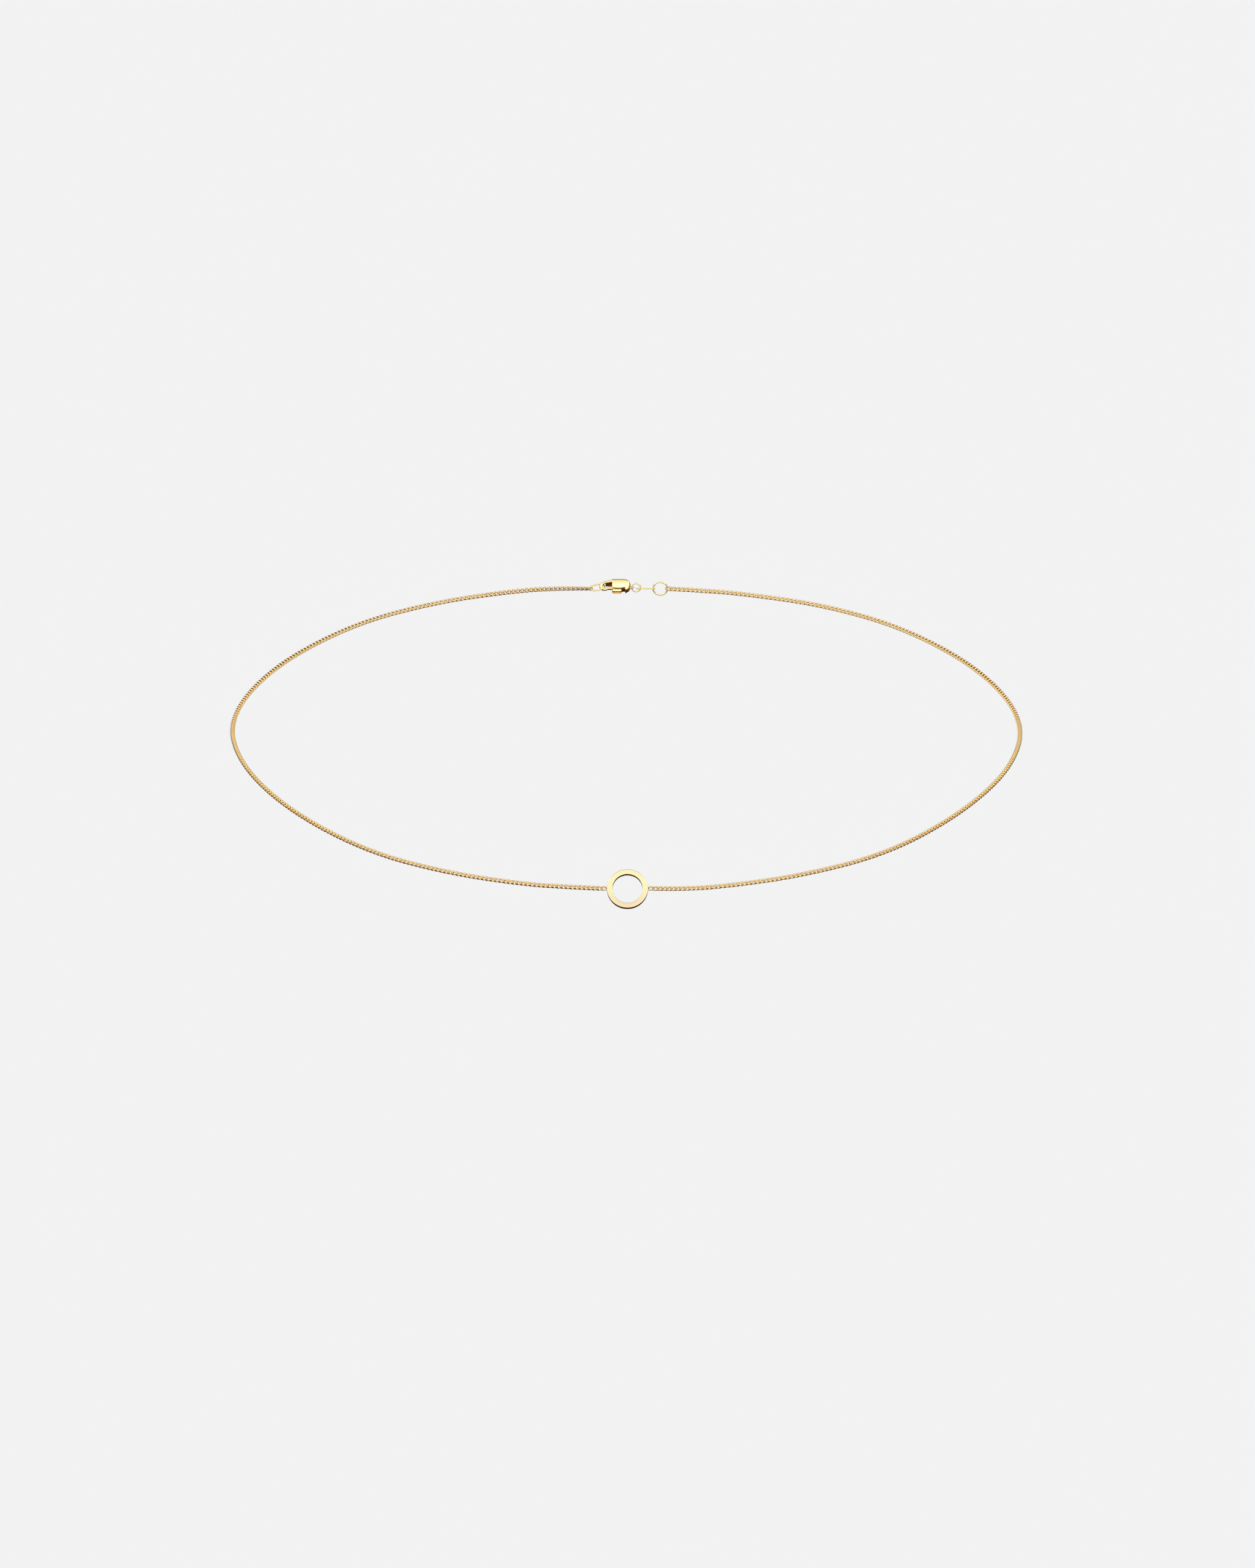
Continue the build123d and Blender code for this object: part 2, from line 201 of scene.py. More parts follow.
# %% Shared effect: gold whose tone drifts
def new_group(name, inputs, outputs):
    """Shader node group with named inputs (name, kind, value) and outputs (name, kind)."""
    group = bpy.data.node_groups.new(name, "ShaderNodeTree")
    for label, kind, value in inputs:
        socket = group.interface.new_socket(label, in_out="INPUT", socket_type=kind)
        socket.default_value = value
    for label, kind in outputs:
        group.interface.new_socket(label, in_out="OUTPUT", socket_type=kind)
    return group, group.nodes.new("NodeGroupInput"), group.nodes.new("NodeGroupOutput")

COLOUR, NUMBER, VECTOR = "NodeSocketColor", "NodeSocketFloat", "NodeSocketVector"
TONE_DETAIL = 2.0

drift, given, made = new_group(
    "gold_tone",
    [("Light", COLOUR, (1, 1, 1, 1)), ("Deep", COLOUR, (1, 1, 1, 1)), ("Patch", NUMBER, 1.0)],
    [("Color", COLOUR)])
spot = drift.nodes.new("ShaderNodeTexCoord")
cloud = drift.nodes.new("ShaderNodeTexNoise")
cloud.inputs["Detail"].default_value = TONE_DETAIL
blend = drift.nodes.new("ShaderNodeMix")
blend.data_type = "RGBA"
drift.links.new(spot.outputs["Object"], cloud.inputs["Vector"])
drift.links.new(given.outputs["Patch"], cloud.inputs["Scale"])
drift.links.new(cloud.outputs["Fac"], blend.inputs["Factor"])
drift.links.new(given.outputs["Light"], blend.inputs["A"])
drift.links.new(given.outputs["Deep"], blend.inputs["B"])
drift.links.new(blend.outputs["Result"], made.inputs["Color"])
print("group", drift.name, "with", len(drift.nodes), "nodes")

# %% Shared effect: polishing marks
MARK_DETAIL = 4.0
MARK_RELIEF = 0.01 * MM

marks, given, made = new_group(
    "polish_marks",
    [("Scale", NUMBER, 1.0), ("Smooth", NUMBER, 0.05),
     ("Rough", NUMBER, 0.15), ("Depth", NUMBER, 0.1)],
    [("Roughness", NUMBER), ("Normal", VECTOR)])
spot = marks.nodes.new("ShaderNodeTexCoord")
grain = marks.nodes.new("ShaderNodeTexNoise")
grain.inputs["Detail"].default_value = MARK_DETAIL
level = marks.nodes.new("ShaderNodeMapRange")
relief = marks.nodes.new("ShaderNodeBump")
relief.inputs["Distance"].default_value = MARK_RELIEF
marks.links.new(spot.outputs["Object"], grain.inputs["Vector"])
marks.links.new(given.outputs["Scale"], grain.inputs["Scale"])
marks.links.new(grain.outputs["Fac"], level.inputs["Value"])
marks.links.new(given.outputs["Smooth"], level.inputs["To Min"])
marks.links.new(given.outputs["Rough"], level.inputs["To Max"])
marks.links.new(grain.outputs["Fac"], relief.inputs["Height"])
marks.links.new(given.outputs["Depth"], relief.inputs["Strength"])
marks.links.new(level.outputs["Result"], made.inputs["Roughness"])
marks.links.new(relief.outputs["Normal"], made.inputs["Normal"])
print("group", marks.name, "with", len(marks.nodes), "nodes")

# %% A gold from both effects
def gold(name, tones, patch_mm, mark_mm, roughness, depth, metallic=1.0):
    """Gold that drifts between two tones, with marks of a given size in millimetres."""
    material, shader, tree_nodes, links = new_material(name)
    shader.inputs["Metallic"].default_value = metallic
    tone = tree_nodes.new("ShaderNodeGroup")
    tone.node_tree = drift
    tone.inputs["Light"].default_value = (*tones[0], 1)
    tone.inputs["Deep"].default_value = (*tones[1], 1)
    tone.inputs["Patch"].default_value = 1 / (patch_mm * MM)
    worn = tree_nodes.new("ShaderNodeGroup")
    worn.node_tree = marks
    worn.inputs["Scale"].default_value = 1 / (mark_mm * MM)
    worn.inputs["Smooth"].default_value = roughness[0]
    worn.inputs["Rough"].default_value = roughness[1]
    worn.inputs["Depth"].default_value = depth
    links.new(tone.outputs["Color"], shader.inputs["Base Color"])
    links.new(worn.outputs["Roughness"], shader.inputs["Roughness"])
    links.new(worn.outputs["Normal"], shader.inputs["Normal"])
    return material

# %% [markdown]
# Five finishes follow from it. The rings are less metallic than the rest: a satin wire scatters
# light, so it looks pale from every side and never as dark as a mirror can. The dark, brown gold
# inside the clasp is painted shade, for its hollows, which lie in shade. The rivet of the frame
# has the right shape already, so it stays, and only takes the clasp's finish.

# %% The five finishes
mirror_gold = gold(
    "mirror_gold", ((0.92, 0.87, 0.51), (0.90, 0.72, 0.45)),
    patch_mm=3.0, mark_mm=0.12, roughness=(0.03, 0.09), depth=0.05)
wire_gold = gold(
    "wire_gold", ((0.94, 0.72, 0.34), (0.88, 0.62, 0.25)),
    patch_mm=6.0, mark_mm=0.10, roughness=(0.05, 0.14), depth=0.10)
ring_gold = gold(
    "ring_gold", ((1.00, 0.89, 0.43), (0.98, 0.80, 0.33)),
    patch_mm=1.2, mark_mm=0.10, roughness=(0.12, 0.24), depth=0.10, metallic=0.58)
cast_gold = gold(
    "cast_gold", ((0.95, 0.78, 0.36), (0.92, 0.72, 0.30)),
    patch_mm=1.5, mark_mm=0.15, roughness=(0.08, 0.18), depth=0.12)
# painted shade: a dark brown gold for the parts inside the clasp that lie in shade
painted_shade_gold = gold(
    "painted_shade_gold", ((0.30, 0.12, 0.04), (0.20, 0.08, 0.02)),
    patch_mm=0.8, mark_mm=0.10, roughness=(0.30, 0.50), depth=0.20)

nodes["clasp_pin"].data.materials[0] = cast_gold
finishes = (mirror_gold, wire_gold, ring_gold, cast_gold, painted_shade_gold)
print("finishes:", [finish.name for finish in finishes])

# %% [markdown]
# The pendant is one flat mirror, so it would show one flat tone. A real one stands close to
# whatever it mirrors, and its tone slides from lemon at the top to peach at the bottom. Here
# that slide is a painted reflection: height on the pendant steers its colour.

# %% Painted reflection on the pendant: lemon above, peach below
# heights between which the painted reflection turns from peach below to lemon above
PEACH_HEIGHT = -2.4 * MM
LEMON_HEIGHT = 0.6 * MM
PATCH_SHADE = (0.98, 0.96, 0.93)

links = mirror_gold.node_tree.links
tree_nodes = mirror_gold.node_tree.nodes
tone = next(node for node in tree_nodes if node.type == "GROUP" and node.node_tree == drift)
spot = tree_nodes.new("ShaderNodeTexCoord")
parts = tree_nodes.new("ShaderNodeSeparateXYZ")
slide = tree_nodes.new("ShaderNodeMapRange")
slide.interpolation_type = "SMOOTHSTEP"
slide.inputs["From Min"].default_value = PEACH_HEIGHT
slide.inputs["From Max"].default_value = LEMON_HEIGHT
painted_reflection_tone = tree_nodes.new("ShaderNodeMix")
painted_reflection_tone.data_type = "RGBA"
painted_reflection_tone.inputs["A"].default_value = tone.inputs["Deep"].default_value
painted_reflection_tone.inputs["B"].default_value = tone.inputs["Light"].default_value
deeper = tree_nodes.new("ShaderNodeMix")
deeper.data_type = "RGBA"
deeper.blend_type = "MULTIPLY"
deeper.inputs["Factor"].default_value = 1.0
deeper.inputs["B"].default_value = (*PATCH_SHADE, 1)
links.new(spot.outputs["Object"], parts.inputs[0])
links.new(parts.outputs["Z"], slide.inputs["Value"])
links.new(slide.outputs["Result"], painted_reflection_tone.inputs["Factor"])
links.new(painted_reflection_tone.outputs["Result"], deeper.inputs["A"])
links.new(painted_reflection_tone.outputs["Result"], tone.inputs["Light"])
links.new(deeper.outputs["Result"], tone.inputs["Deep"])
print("pendant tone slides over", round((LEMON_HEIGHT - PEACH_HEIGHT) / MM, 1), "mm")

# %% [markdown]
# ## Chain
# A curb chain is made of round wire links that are twisted until they lie flat against each
# other. In the frame each run is a plain tube. Here the real links take its place: one link is
# modelled from a ring of wire, stretched and then twisted, and copies of it follow the route.
# The route is a smooth curve through a few given points, the same points as the tube's.

# %% One curb link, stretched and twisted
LINK_WIDTH = 0.95 * MM
LINK_PITCH = 0.845 * MM
LINK_WIRE = 0.29 * MM
LINK_SLACK = 0.05 * MM
LINK_TWIST = radians(108)
ROUND_STEPS = 12
WIRE_SIDES = 6

link_bend = (LINK_WIDTH - LINK_WIRE) / 2
link_half = (LINK_PITCH + LINK_WIRE + LINK_SLACK) / 2

def curb_link(name, twist):
    """One link along X: a ring of wire, pulled long and twisted by whole, round sections."""
    bpy.ops.object.select_all(action="DESELECT")
    bpy.ops.mesh.primitive_torus_add(
        major_segments=ROUND_STEPS, minor_segments=WIRE_SIDES,
        major_radius=link_bend, minor_radius=LINK_WIRE / 2)
    link = bpy.context.object
    link.name = name
    places = np.array([vertex.co for vertex in link.data.vertices])
    x, y, z = np.split(places.reshape(ROUND_STEPS, WIRE_SIDES, 3), 3, axis=2)
    middle = x.mean(axis=1, keepdims=True)
    pull = np.sign(np.round(middle / LINK_WIRE, 3)) * (link_half - link_bend)
    turn = twist * (middle + pull) / (2 * link_half)
    turned_y = y * np.cos(turn) - z * np.sin(turn)
    turned_z = y * np.sin(turn) + z * np.cos(turn)
    places = np.concatenate([x + pull, turned_y, turned_z], axis=2)
    for vertex, place in zip(link.data.vertices, places.reshape(-1, 3)):
        vertex.co = place
    bpy.ops.object.shade_smooth()
    return link

left_link = curb_link("curb_link_left", -LINK_TWIST)
right_link = curb_link("curb_link_right", LINK_TWIST)
print("link", in_mm(left_link.dimensions), "mm,", len(left_link.data.polygons), "faces")

# %% The route, through given points
HALF_LOOP_WIDTH = 148.8 / 2 * MM
HALF_LOOP_DEPTH = 117.8 / 2 * MM
ROUTE_STEPS = 32

# shares of half the loop's width and half its depth, pendant to clasp
ROUTE_RIGHT = [
    (0.140, -1.005), (0.252, -0.985), (0.446, -0.914), (0.662, -0.768),
    (0.849, -0.503), (0.978, -0.202), (1.012, 0.106), (0.912, 0.436),
    (0.720, 0.723), (0.510, 0.886), (0.296, 0.966), (0.185, 0.988),
]
ROUTE_LEFT = [
    (-0.134, -0.992), (-0.253, -0.974), (-0.450, -0.899), (-0.655, -0.758),
    (-0.853, -0.488), (-0.981, -0.178), (-1.012, 0.128), (-0.905, 0.467),
    (-0.702, 0.755), (-0.496, 0.903), (-0.296, 0.982), (-0.172, 1.004),
]

def smooth_route(name, start, shares, end):
    """Points along a smooth curve that starts and ends on the neighbours' wires."""
    middle = [Vector((x * HALF_LOOP_WIDTH, y * HALF_LOOP_DEPTH, 0)) for x, y in shares]
    corners = [start, *middle, end]
    curve = bpy.data.curves.new(name, "CURVE")
    curve.dimensions = "3D"
    curve.resolution_u = ROUTE_STEPS
    spline = curve.splines.new("NURBS")
    spline.points.add(len(corners) - 1)
    for point, corner in zip(spline.points, corners):
        point.co = (*corner, 1)
    spline.order_u = 3
    spline.use_endpoint_u = True
    holder = bpy.data.objects.new(name, curve)
    line = bpy.data.meshes.new_from_object(holder)
    points = np.array([vertex.co for vertex in line.vertices])
    bpy.data.objects.remove(holder)
    bpy.data.meshes.remove(line)
    return points

print("route points:", len(ROUTE_LEFT), "on the left,", len(ROUTE_RIGHT), "on the right")

# %% [markdown]
# A fine chain never lies quite flat: it rolls a little on its way round the neck. At the front
# it shows its broad face to the eye, at the sides the face points up, and at the back it rolls
# further. The last links turn more sharply, so that their wires clear the rings they hang on.

# %% How the links lean along the way
# A row holds the share of the way from pendant to clasp, and the lean of the links' broad face:
# 0 faces outwards, 90 faces up, 180 faces inwards.
LEAN_LEFT = [(0.00, 45), (0.05, 62), (0.25, 66), (0.50, 90), (0.75, 111), (0.88, 112), (1.00, 206)]
LEAN_RIGHT = [(0.00, 45), (0.05, 62), (0.25, 66), (0.50, 90), (0.75, 111), (0.95, 112), (1.00, 128)]

def run_of_links(name, link, points, side, leans, first_wire, last_wire):
    """Copies of one link along a route, joined into one piece."""
    steps = np.linalg.norm(np.diff(points, axis=0), axis=1)
    travel = np.concatenate([[0], np.cumsum(steps)])
    hook = LINK_WIRE / 2 + LINK_SLACK
    first = link_half - hook - first_wire / 2
    last = travel[-1] - (link_half - hook - last_wire / 2)
    count = round((last - first) / LINK_PITCH) + 1
    centres = np.linspace(first, last, count)
    shape = np.array([vertex.co for vertex in link.data.vertices])
    corners, sides = [], []
    for number, middle in enumerate(centres):
        here = Vector([np.interp(middle, travel, points[:, axis]) for axis in range(3)])
        ahead = [np.interp(middle + link_half / 2, travel, points[:, axis]) for axis in range(3)]
        behind = [np.interp(middle - link_half / 2, travel, points[:, axis]) for axis in range(3)]
        along = (Vector(ahead) - Vector(behind)).normalized()
        outward = along.cross(Vector((0, 0, 1))) * side
        lean = radians(np.interp(middle / travel[-1], *zip(*leans)))
        face = outward * cos(lean) + Vector((0, 0, 1)) * sin(lean)
        turn = np.array(Matrix((along, face.cross(along), face)))
        corners.append(shape @ turn + here)
        sides.extend(tuple(corner + number * len(shape) for corner in polygon.vertices)
                     for polygon in link.data.polygons)
    mesh = bpy.data.meshes.new(name)
    mesh.from_pydata(np.concatenate(corners).tolist(), [], sides)
    mesh.materials.append(wire_gold)
    mesh.shade_smooth()
    run = bpy.data.objects.new(name, mesh)
    bpy.context.scene.collection.objects.link(run)
    pitch = centres[1] - centres[0]
    print(name, count, "links, pitch and way", in_mm((pitch, travel[-1])), "mm")
    return run

# %% Hang both runs between the pendant's links and the rings
PENDANT_LINK_WIRE = 0.20 * MM
RING_WIRE = 0.28 * MM

def wire_middle(node, side, wire, depth):
    """Middle of a link's or ring's wire at its left (-1) or right (1) end."""
    low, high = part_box(node)
    edge = low.x + wire / 2 if side < 0 else high.x - wire / 2
    return Vector((edge, depth, 0))

left_points = smooth_route(
    "route_left", wire_middle("pendant_link_left", -1, PENDANT_LINK_WIRE, -HALF_LOOP_DEPTH),
    ROUTE_LEFT, wire_middle("end_ring", -1, RING_WIRE, HALF_LOOP_DEPTH))
right_points = smooth_route(
    "route_right", wire_middle("pendant_link_right", 1, PENDANT_LINK_WIRE, -HALF_LOOP_DEPTH),
    ROUTE_RIGHT, wire_middle("big_ring", 1, RING_WIRE, HALF_LOOP_DEPTH))
left_run = run_of_links(
    "chain_links_left", left_link, left_points, -1, LEAN_LEFT, PENDANT_LINK_WIRE, RING_WIRE)
right_run = run_of_links(
    "chain_links_right", right_link, right_points, 1, LEAN_RIGHT, PENDANT_LINK_WIRE, RING_WIRE)
for run, node in ((left_run, "chain_left"), (right_run, "chain_right")):
    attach(run, "necklace")
    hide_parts(node)
for pattern in (left_link, right_link):
    bpy.data.objects.remove(pattern)
print("chain of", len(left_run.data.polygons) + len(right_run.data.polygons), "faces")

# %% [markdown]
# ## Helpers for the solid pieces
# The pendant, the rings and the clasp are modelled lying flat, in millimetres, because
# modelling tools work best on sizes near one. Each is then laid in its place in the frame.
# A ring or link shows its own plane: its points spread widely in two directions and little
# in the third.

# %% Lay pieces in their places
def lay(piece, node, body, place):
    """Scale a piece from millimetres, put it in its place, and let it stand for a CAD node."""
    bpy.ops.object.select_all(action="DESELECT")
    bpy.context.view_layer.objects.active = piece
    piece.select_set(True)
    piece.matrix_world = place @ Matrix.Scale(MM, 4)
    bpy.ops.object.transform_apply(location=True, rotation=True, scale=True)
    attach(piece, body)
    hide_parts(node)

def plane_of(origin, first, second):
    """Placement whose axes are first, second and the direction square to both."""
    third = first.cross(second)
    return Matrix.Translation(origin) @ Matrix((first, second, third)).transposed().to_4x4()

def measured_plane(node):
    """Placement of a flat ring or link, from the spread of its points: long axis, then wide."""
    points = np.array([vertex.co for vertex in nodes[node].data.vertices])
    spread = np.linalg.svd(points - points.mean(axis=0), full_matrices=False)[2]
    along = points @ spread.T
    middle = (along.max(axis=0) + along.min(axis=0)) / 2
    first, second = Vector(spread[0]), Vector(spread[1])
    return plane_of(Vector(middle @ spread), first, second)

print("end ring's centre", in_mm(measured_plane("end_ring").translation), "mm")

# %% [markdown]
# The cast pieces are lofts: a circle is extruded once for each section, and then each section
# gets its own place, height and depth. Their outline is a superellipse, which slides from round
# to nearly square with one number, as the edges of a casting do.

# %% A loft: one smooth form through a row of sections
SIDES = 32
END_STEPS = 4

def loft(name, stations, powers):
    """Form through (x, y, up, down, depth); upper and lower powers above 2 make it squarer."""
    bpy.ops.object.select_all(action="DESELECT")
    bpy.ops.mesh.primitive_circle_add(vertices=SIDES, radius=1, fill_type="NGON")
    piece = bpy.context.object
    piece.name = name
    bpy.ops.object.mode_set(mode="EDIT")
    bpy.ops.mesh.select_all(action="SELECT")
    for _ in stations[1:]:
        bpy.ops.mesh.extrude_region_move(TRANSFORM_OT_translate={"value": (0, 0, 1)})
    bpy.ops.object.mode_set(mode="OBJECT")
    rows = np.array(stations, dtype=float)
    ways = np.gradient(rows[:, :2], axis=0)
    ways /= np.linalg.norm(ways, axis=1)[:, None]
    for vertex in piece.data.vertices:
        side, lift, step = vertex.co
        x, y, up, down, depth = rows[round(step)]
        way_x, way_y = ways[round(step)]
        power = powers[0] if lift > 0 else powers[1]
        reach = up if lift > 0 else down
        across = np.sign(lift) * abs(lift) ** (2 / power) * reach
        out = np.sign(side) * abs(side) ** (2 / power) * depth
        vertex.co = (x - way_y * across, y + way_x * across, out)
    bpy.ops.object.mode_set(mode="EDIT")
    bpy.ops.mesh.select_all(action="SELECT")
    bpy.ops.mesh.normals_make_consistent(inside=False)
    bpy.ops.object.mode_set(mode="OBJECT")
    return piece

# %% Smooth and rounded rows of sections
def smooth_stations(rows, steps=4):
    """More stations on a smooth curve through the given ones."""
    rows = np.array(rows, dtype=float)
    padded = np.vstack([2 * rows[0] - rows[1], rows, 2 * rows[-1] - rows[-2]])
    result = []
    for before, here, after, beyond in zip(padded, padded[1:], padded[2:], padded[3:]):
        for share in np.arange(steps) / steps:
            bend = 2 * here + (after - before) * share
            bend += (2 * before - 5 * here + 4 * after - beyond) * share**2
            bend += (3 * here - before - 3 * after + beyond) * share**3
            result.append(bend / 2)
    return result + [rows[-1]]

def round_ends(stations, radius, first=True, last=True):
    """Add small, shrinking sections so that a loft's ends are rounded."""
    rows = [np.array(row, dtype=float) for row in stations]
    turns = [pi / 2 * step / END_STEPS for step in range(1, END_STEPS + 1)]
    for chosen, end, inner in ((first, 0, 1), (last, -1, -2)):
        if not chosen:
            continue
        row = rows[end]
        way = (row[:2] - rows[inner][:2]) / np.linalg.norm(row[:2] - rows[inner][:2])
        extra = []
        for turn in turns:
            place = row[:2] + way * radius * sin(turn)
            extra.append(np.concatenate([place, row[2:] - radius * (1 - cos(turn))]))
        rows = extra[::-1] + rows if end == 0 else rows + extra
    return rows

print("a rounded bar has", len(round_ends([(0, 0, 1, 1, 1), (2, 0, 1, 1, 1)], 0.1)), "sections")

# %% Pick, box, change and cut
def pick(piece, wanted):
    """In edit mode, select the vertices for which wanted(place) is true."""
    bpy.ops.mesh.select_all(action="DESELECT")
    bpy.ops.object.mode_set(mode="OBJECT")
    for vertex in piece.data.vertices:
        vertex.select = wanted(vertex.co)
    bpy.ops.object.mode_set(mode="EDIT")

def block(name, left, right, bottom, top, half):
    """Box from left to right and bottom to top, reaching half to the front and back."""
    bpy.ops.object.select_all(action="DESELECT")
    bpy.ops.mesh.primitive_cube_add(size=1)
    piece = bpy.context.object
    piece.name = name
    bpy.ops.object.mode_set(mode="EDIT")
    bpy.ops.transform.resize(value=(right - left, top - bottom, 2 * half))
    bpy.ops.transform.translate(value=((left + right) / 2, (bottom + top) / 2, 0))
    bpy.ops.object.mode_set(mode="OBJECT")
    return piece

def change(piece, kind, **settings):
    """Add a modifier with its settings and apply it."""
    bpy.context.view_layer.objects.active = piece
    step = piece.modifiers.new(kind.lower(), kind)
    for setting, value in settings.items():
        setattr(step, setting, value)
    bpy.ops.object.modifier_apply(modifier=step.name)

def cut(piece, cutter):
    """Take a cutter's shape away from a piece."""
    change(piece, "BOOLEAN", operation="DIFFERENCE", object=cutter, solver="EXACT", use_self=True)
    bpy.data.objects.remove(cutter)

# %% Join, finish and dress
SHARP_ANGLE = radians(40)

def join(pieces, name):
    """Join pieces into the first of them."""
    bpy.ops.object.select_all(action="DESELECT")
    for piece in pieces:
        piece.select_set(True)
    bpy.context.view_layer.objects.active = pieces[0]
    bpy.ops.object.join()
    pieces[0].name = name
    return pieces[0]

def finish_with(piece, finish):
    """Give a part its finish, before it is joined to parts with other finishes."""
    piece.data.materials.clear()
    piece.data.materials.append(finish)
    return piece

def dress(piece):
    """Smooth shading, with sharp edges kept."""
    bpy.ops.object.select_all(action="DESELECT")
    bpy.context.view_layer.objects.active = piece
    piece.select_set(True)
    bpy.ops.object.shade_smooth_by_angle(angle=SHARP_ANGLE)
    print(piece.name, "dressed,", len(piece.data.polygons), "faces")

# %% [markdown]
# ## Pendant
# The open circle is cut from a round bar or punched from plate, and its four edges are rounded
# before polishing. Two lugs of fine wire are soldered on, a little above the middle, so that
# the circle hangs upright. Its band is a disc with an inset, bridged face to face.

# %% The open circle's band
PENDANT_RADIUS = 7.65 / 2
PENDANT_WALL = 1.00
PENDANT_THICKNESS = 0.90
PENDANT_EDGE = 0.14
PENDANT_DROP = 0.15
BAND_SIDES = 144
EDGE_STEPS = 4

bpy.ops.object.select_all(action="DESELECT")
bpy.ops.mesh.primitive_cylinder_add(
    vertices=BAND_SIDES, radius=PENDANT_RADIUS, depth=PENDANT_THICKNESS)
band = bpy.context.object
bpy.ops.object.mode_set(mode="EDIT")
bpy.ops.mesh.select_mode(type="FACE")
bpy.ops.mesh.select_all(action="DESELECT")
bpy.ops.object.mode_set(mode="OBJECT")
for polygon in band.data.polygons:
    polygon.select = abs(polygon.normal.z) > 0.5
bpy.ops.object.mode_set(mode="EDIT")
bpy.ops.mesh.inset(thickness=PENDANT_WALL, use_individual=True)
bpy.ops.mesh.bridge_edge_loops()
bpy.ops.mesh.select_mode(type="VERT")
bpy.ops.object.mode_set(mode="OBJECT")
change(band, "BEVEL", width=PENDANT_EDGE, segments=EDGE_STEPS, angle_limit=radians(60))
band.data.transform(Matrix.Translation((0, -PENDANT_DROP, 0)))
print("band of", len(band.data.polygons), "faces")

# %% Two lugs, and the circle in its place
LUG_BEND = 0.38
LUG_WIRE = 0.16
PENDANT_LEAN = radians(47.5)

lugs = []
for side in (-1, 1):
    bpy.ops.object.select_all(action="DESELECT")
    bpy.ops.mesh.primitive_torus_add(
        major_segments=48, minor_segments=12, major_radius=LUG_BEND, minor_radius=LUG_WIRE / 2)
    lug = bpy.context.object
    lug.data.transform(Matrix.Translation((side * PENDANT_RADIUS, 0, 0)))
    lugs.append(lug)
pendant = finish_with(join([band, *lugs], "open_circle"), mirror_gold)
change(pendant, "WEIGHTED_NORMAL", keep_sharp=True)

low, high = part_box("pendant_ring")
upward = Vector((0, sin(PENDANT_LEAN), cos(PENDANT_LEAN)))
hung = (low + high) / 2 + upward * PENDANT_DROP * MM
lay(pendant, "pendant_ring", "necklace", plane_of(hung, Vector((1, 0, 0)), upward))
dress(pendant)

# %% [markdown]
# ## Jump rings and links
# A jump ring is wire wound on a rod and sawn off turn by turn. It is closed round its
# neighbours, and the butt joint stays as a hair line. Here the joint is a narrow groove
# between two closely set sections of the ring. An oval link is the same ring pulled long.

# %% A ring or oval link with its joint
SEAM_WIDTH = 0.035
SEAM_DEPTH = 0.02
RING_STEPS = 72
RING_SIDES = 16
SAME_PLACE = 0.001

def wire_ring(name, length, width, wire, seam_turn):
    """Closed ring of wire (outer sizes) with a butt joint turned seam_turn from the long axis."""
    bend = (width - wire) / 2
    bpy.ops.object.select_all(action="DESELECT")
    bpy.ops.mesh.primitive_torus_add(
        major_segments=RING_STEPS, minor_segments=RING_SIDES,
        major_radius=bend, minor_radius=wire / 2)
    ring = bpy.context.object
    ring.name = name
    bpy.ops.object.mode_set(mode="EDIT")
    bpy.ops.mesh.select_mode(type="VERT")
    pick(ring, lambda place: place.x > 0 and abs(place.y) < SAME_PLACE)
    bpy.ops.mesh.bevel(offset=SEAM_WIDTH / 2, segments=2, affect="EDGES", clamp_overlap=False)
    pick(ring, lambda place: place.x > 0 and abs(place.y) < SAME_PLACE)
    bpy.ops.transform.shrink_fatten(value=-SEAM_DEPTH)
    bpy.ops.mesh.select_all(action="SELECT")
    bpy.ops.transform.rotate(value=-radians(seam_turn), orient_axis="Z", center_override=(0, 0, 0))
    for side in (-1, 1):
        pick(ring, lambda place: place.x * side > SAME_PLACE)
        bpy.ops.transform.translate(value=(side * (length - width) / 2, 0, 0))
    bpy.ops.object.mode_set(mode="OBJECT")
    return ring

# %% All rings and links, laid in place
# node, length, width, wire and turn of the joint, in millimetres and degrees
RINGS = [
    ("pendant_link_left", 1.25, 0.90, 0.20, 95),
    ("pendant_link_right", 1.25, 0.90, 0.20, 85),
    ("end_ring", 3.00, 3.00, 0.28, 70),
    ("clasp_ring", 1.90, 1.90, 0.25, 55),
    ("connector_link", 3.58, 1.30, 0.23, 92),
    ("big_ring", 3.00, 3.00, 0.28, 250),
]
for node, length, width, wire, seam_turn in RINGS:
    beside_pendant = node.startswith("pendant")
    finish = wire_gold if beside_pendant else ring_gold
    ring = finish_with(wire_ring("wire_" + node, length, width, wire, seam_turn), finish)
    lay(ring, node, "necklace", measured_plane(node))
    dress(ring)
print(len(RINGS), "rings and links laid in place")

# %% [markdown]
# ## Clasp body
# A lobster clasp is cast in one piece: a hollow body, a claw that curls round to meet the
# trigger, and an ear for its ring. Its plane faces the camera, and the rivet gives its place.
# The body is two lofts, an upper shell over the trigger's room and a full tail, and room for
# the trigger is cut from both. The claw is a bar that thins towards its bend, with a sloping
# inner wall in the dark gold of painted shade, which makes the mouth look deep and shaded. All
# sizes are in millimetres from the clasp's tail.

# %% Sizes and place of the clasp
CLASP_LEAN = radians(28.8)
BODY_MIDDLE = 0.45
BODY_HALF = 1.35
BODY_DEPTH = 0.80
TAIL_ROUND = 1.25
DEPTH_ROUND = 0.60
PIVOT_X = -1.80
ROOM_BACK = -1.05
SLOT_HALF = 0.43
HUB_RADIUS = 0.52

